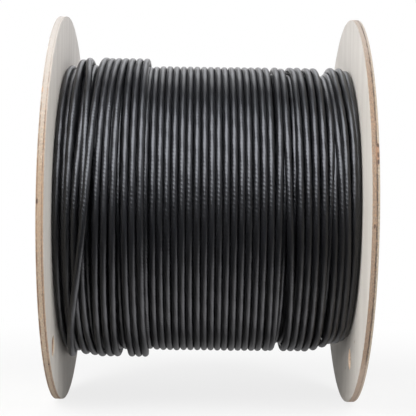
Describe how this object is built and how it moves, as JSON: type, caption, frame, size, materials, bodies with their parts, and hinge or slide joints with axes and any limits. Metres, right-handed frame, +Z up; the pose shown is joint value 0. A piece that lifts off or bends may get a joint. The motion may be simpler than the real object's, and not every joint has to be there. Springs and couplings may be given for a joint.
{
  "type": "cable drum",
  "caption": "Wooden cable drum: round plywood flanges bolted on a paperboard barrel that is wound full of black sheathed cable.",
  "frame": {"origin": "on the floor under the middle of the drum, which stands on the rims of its flanges", "axes": "+X along the drum's axis towards the flange with the nuts, +Z up, and the drum is seen along +Y"},
  "size_m": [0.2773, 0.34, 0.34],
  "materials": {
    "plywood": "matte",
    "paperboard": "matte",
    "cable_sheath": "satin",
    "zinc_steel": "satin"
  },
  "bodies": {
    "root": {"flange_left": "plywood", "flange_right": "plywood", "barrel": "paperboard", "cable_winding": "cable_sheath", "tie_bolt_1": "zinc_steel", "tie_bolt_2": "zinc_steel", "tie_bolt_3": "zinc_steel", "head_washer_1": "zinc_steel", "head_washer_2": "zinc_steel", "head_washer_3": "zinc_steel", "nut_washer_1": "zinc_steel", "nut_washer_2": "zinc_steel", "nut_washer_3": "zinc_steel", "hex_nut_1": "zinc_steel", "hex_nut_2": "zinc_steel", "hex_nut_3": "zinc_steel"}
  },
  "joints": []
}
